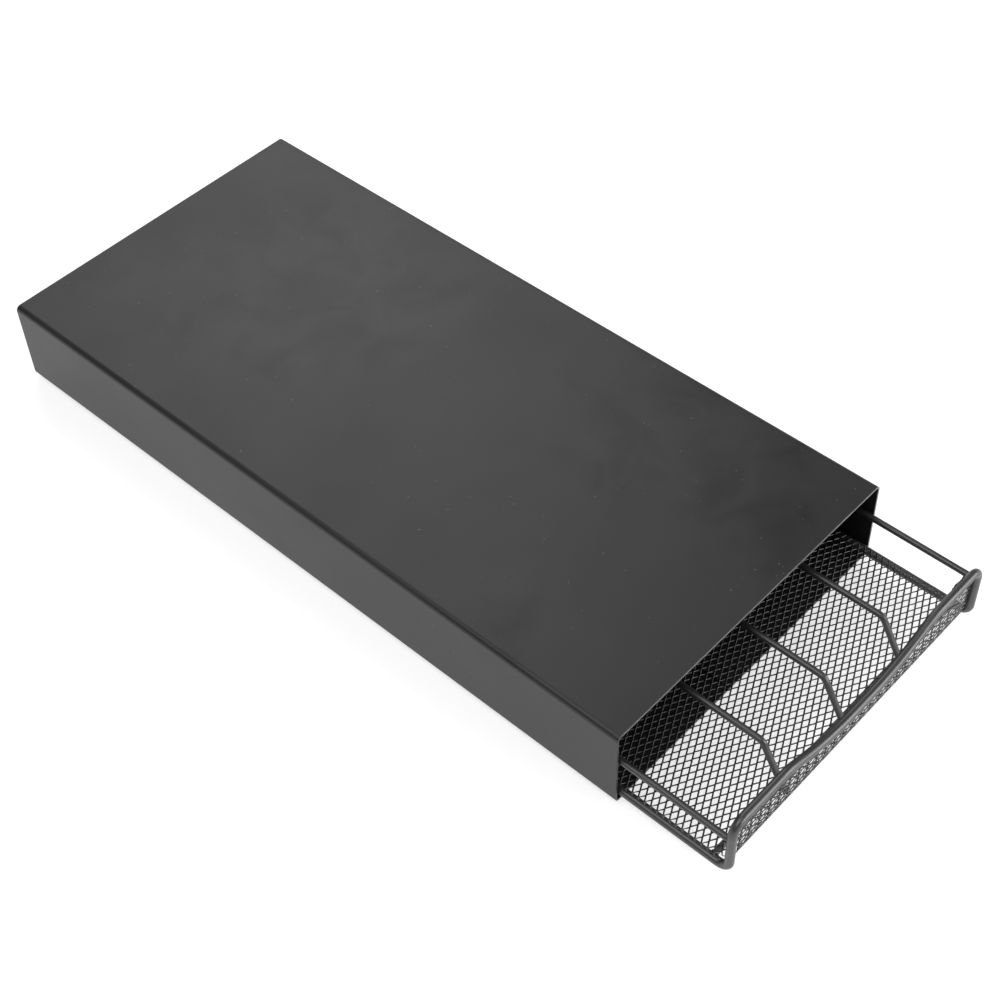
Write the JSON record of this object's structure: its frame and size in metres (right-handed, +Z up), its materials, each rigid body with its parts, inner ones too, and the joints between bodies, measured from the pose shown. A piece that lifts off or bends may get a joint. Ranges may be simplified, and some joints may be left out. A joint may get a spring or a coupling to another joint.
{
  "type": "coffee pod drawer",
  "caption": "Slim sheet-metal housing with a pull-out wire and mesh drawer that keeps coffee pods in lanes under a coffee machine.",
  "frame": {"origin": "bottom centre of the whole part as drawn, with the drawer standing 62.45 mm out of the housing; Z = 0 is the surface it stands on", "axes": "-Y towards the drawer's front, +Y towards the closed back, +X to the right for someone who faces the front, +Z up"},
  "size_m": [0.196, 0.4844, 0.052],
  "materials": {
    "housing_coat": "fine satin black powder coat",
    "wire_coat": "satin black powder coat on steel wire",
    "mesh_coat": "satin black powder coat on expanded steel mesh",
    "glide_plastic": "matte black",
    "foot_rubber": "matte black"
  },
  "bodies": {
    "housing": {"sleeve": "housing_coat", "seam_strip": "housing_coat", "back_panel": "housing_coat", "stop_tab_left": "housing_coat", "stop_tab_right": "housing_coat", "front_glide_left": "glide_plastic", "front_glide_right": "glide_plastic", "foot_front_left": "foot_rubber", "foot_front_right": "foot_rubber", "foot_rear_left": "foot_rubber", "foot_rear_right": "foot_rubber"},
    "drawer": {"front_hoop": "wire_coat", "rear_hoop": "wire_coat", "runner_left": "wire_coat", "runner_right": "wire_coat", "side_rail_left": "wire_coat", "side_rail_right": "wire_coat", "divider_left": "wire_coat", "divider_middle": "wire_coat", "divider_right": "wire_coat", "front_cross_wire": "wire_coat", "middle_cross_wire_front": "wire_coat", "middle_cross_wire_rear": "wire_coat", "rear_cross_wire": "wire_coat", "rear_glide_left": "glide_plastic", "rear_glide_right": "glide_plastic", "floor_mesh": "mesh_coat", "front_mesh": "mesh_coat", "rear_mesh": "mesh_coat", "mesh_hem_left": "mesh_coat", "mesh_hem_right": "mesh_coat"}
  },
  "joints": [
    {"name": "drawer_slide", "type": "slide", "parent": "housing", "child": "drawer", "axis": [0, -1, 0], "range_m": [-0.06245, 0.275]}
  ]
}
